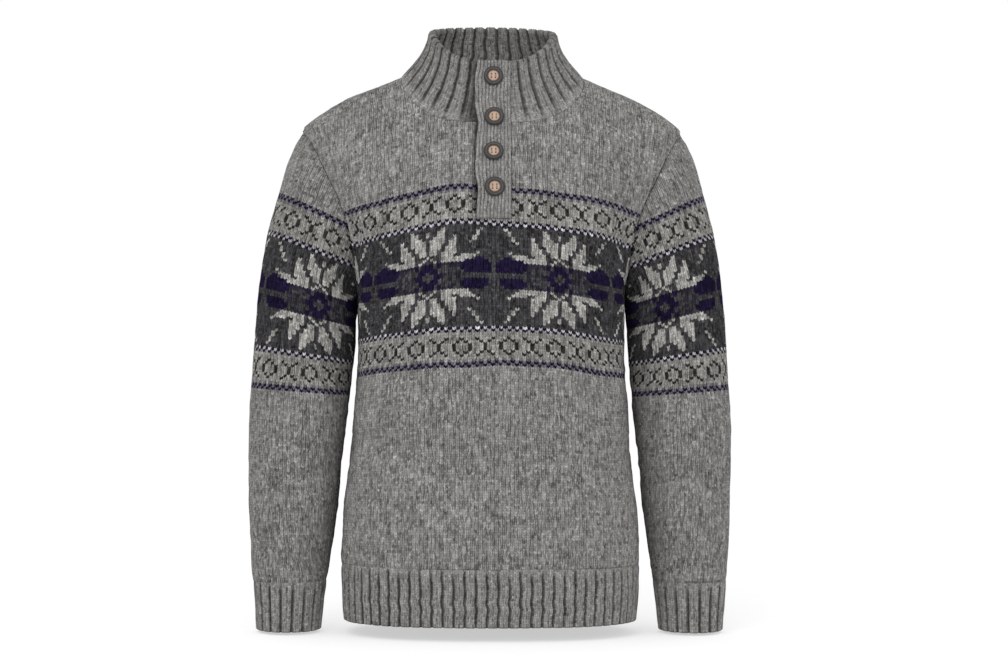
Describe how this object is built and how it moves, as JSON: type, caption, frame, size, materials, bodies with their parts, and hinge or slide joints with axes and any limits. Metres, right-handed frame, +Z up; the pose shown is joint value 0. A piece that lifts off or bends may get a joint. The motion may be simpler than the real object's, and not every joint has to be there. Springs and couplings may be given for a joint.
{
  "type": "ribbed-collar henley sweater with a knitted star band, hollow as worn",
  "caption": "Hollow knitted pullover with a ribbed stand collar, a buttoned placket, ribbed hem and cuffs and a Nordic star band, filled out as if worn",
  "frame": {"origin": "midway between the two points where the shoulder seams meet the collar, where the wearer's shoulders hold the garment up", "axes": "+Z up, the front of the garment faces -Y, +X is the wearer's left"},
  "size_m": [0.615, 0.2497, 0.7788],
  "materials": {
    "knit": "heather grey wool in plain knit, with a stranded band in light grey, charcoal and dark purple",
    "rib": "heather grey wool in wide rib",
    "band": "heather grey wool in narrow rib",
    "button": "dark turned rim round a tan middle, satin"
  },
  "bodies": {
    "root": {"front": "knit", "back": "knit", "sleeve_left": "knit", "sleeve_right": "knit", "collar": "rib", "front_welt": "rib", "back_welt": "rib", "cuff_left": "rib", "cuff_right": "rib", "button_band": "band", "under_band": "band", "button_1": "button", "button_2": "button", "button_3": "button", "button_4": "button"}
  },
  "joints": []
}
